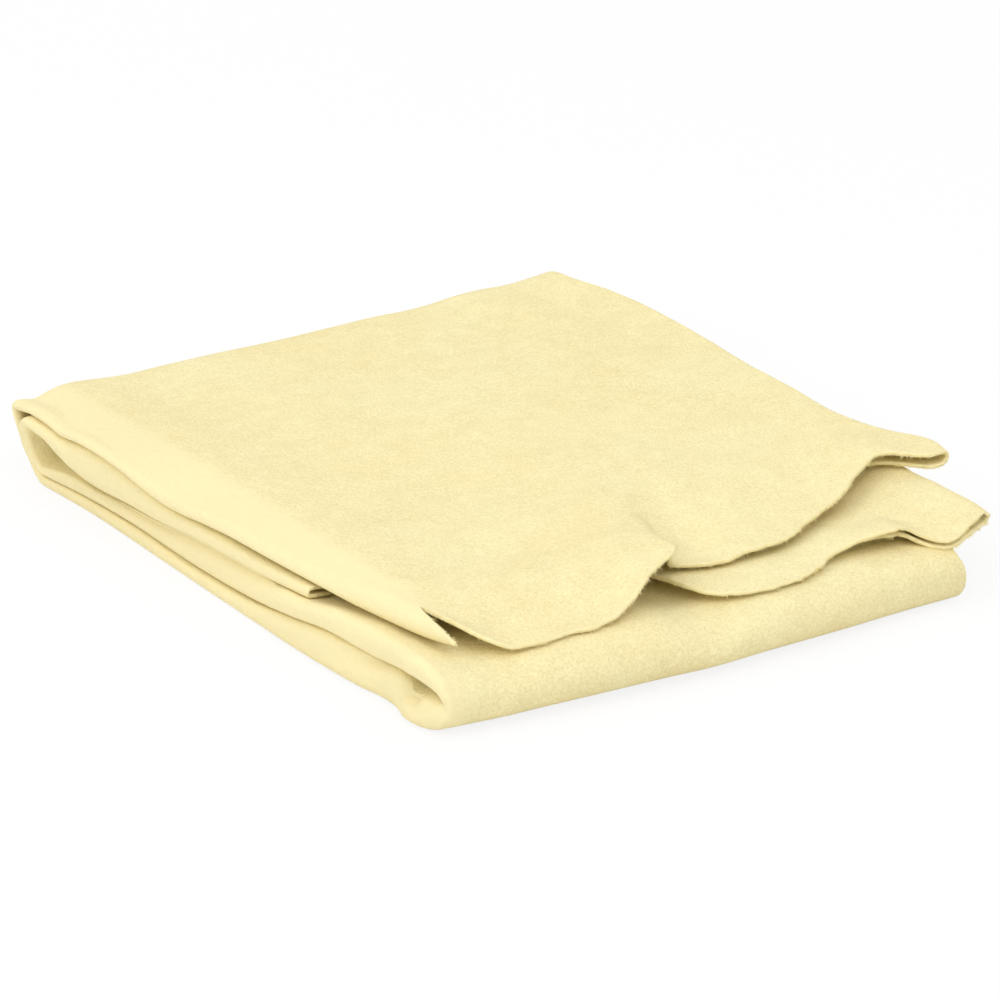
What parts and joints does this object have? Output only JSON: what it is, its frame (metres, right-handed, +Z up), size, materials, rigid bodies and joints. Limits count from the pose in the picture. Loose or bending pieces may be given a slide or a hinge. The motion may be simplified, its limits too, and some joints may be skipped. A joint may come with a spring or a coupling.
{
  "type": "chamois leather",
  "caption": "Chamois leather folded flat: a pale yellow napped skin, doubled and folded over itself, with a rolled front, wavy raw ends and a top flap that opens.",
  "frame": {"origin": "centre of the bounding box, on the table under the base panel", "axes": "+X along the front roll to the right, +Y from the front roll to the back fold, +Z up"},
  "size_m": [0.1988, 0.2424, 0.0274],
  "materials": {
    "chamois": "napped suede, matt"
  },
  "bodies": {
    "folded_stack": {"base_panel": "chamois", "front_fold": "chamois", "middle_panel": "chamois", "inner_fold": "chamois", "inner_panel": "chamois", "back_fold": "chamois"},
    "top_flap": {"top_flap": "chamois"}
  },
  "joints": [
    {"name": "top_flap_lift", "type": "hinge", "parent": "folded_stack", "child": "top_flap", "pos_m": [0, 0.121, 0.0125], "axis": [-1, 0, 0], "range_deg": [0, 175], "deforming": ["back_fold"]}
  ]
}
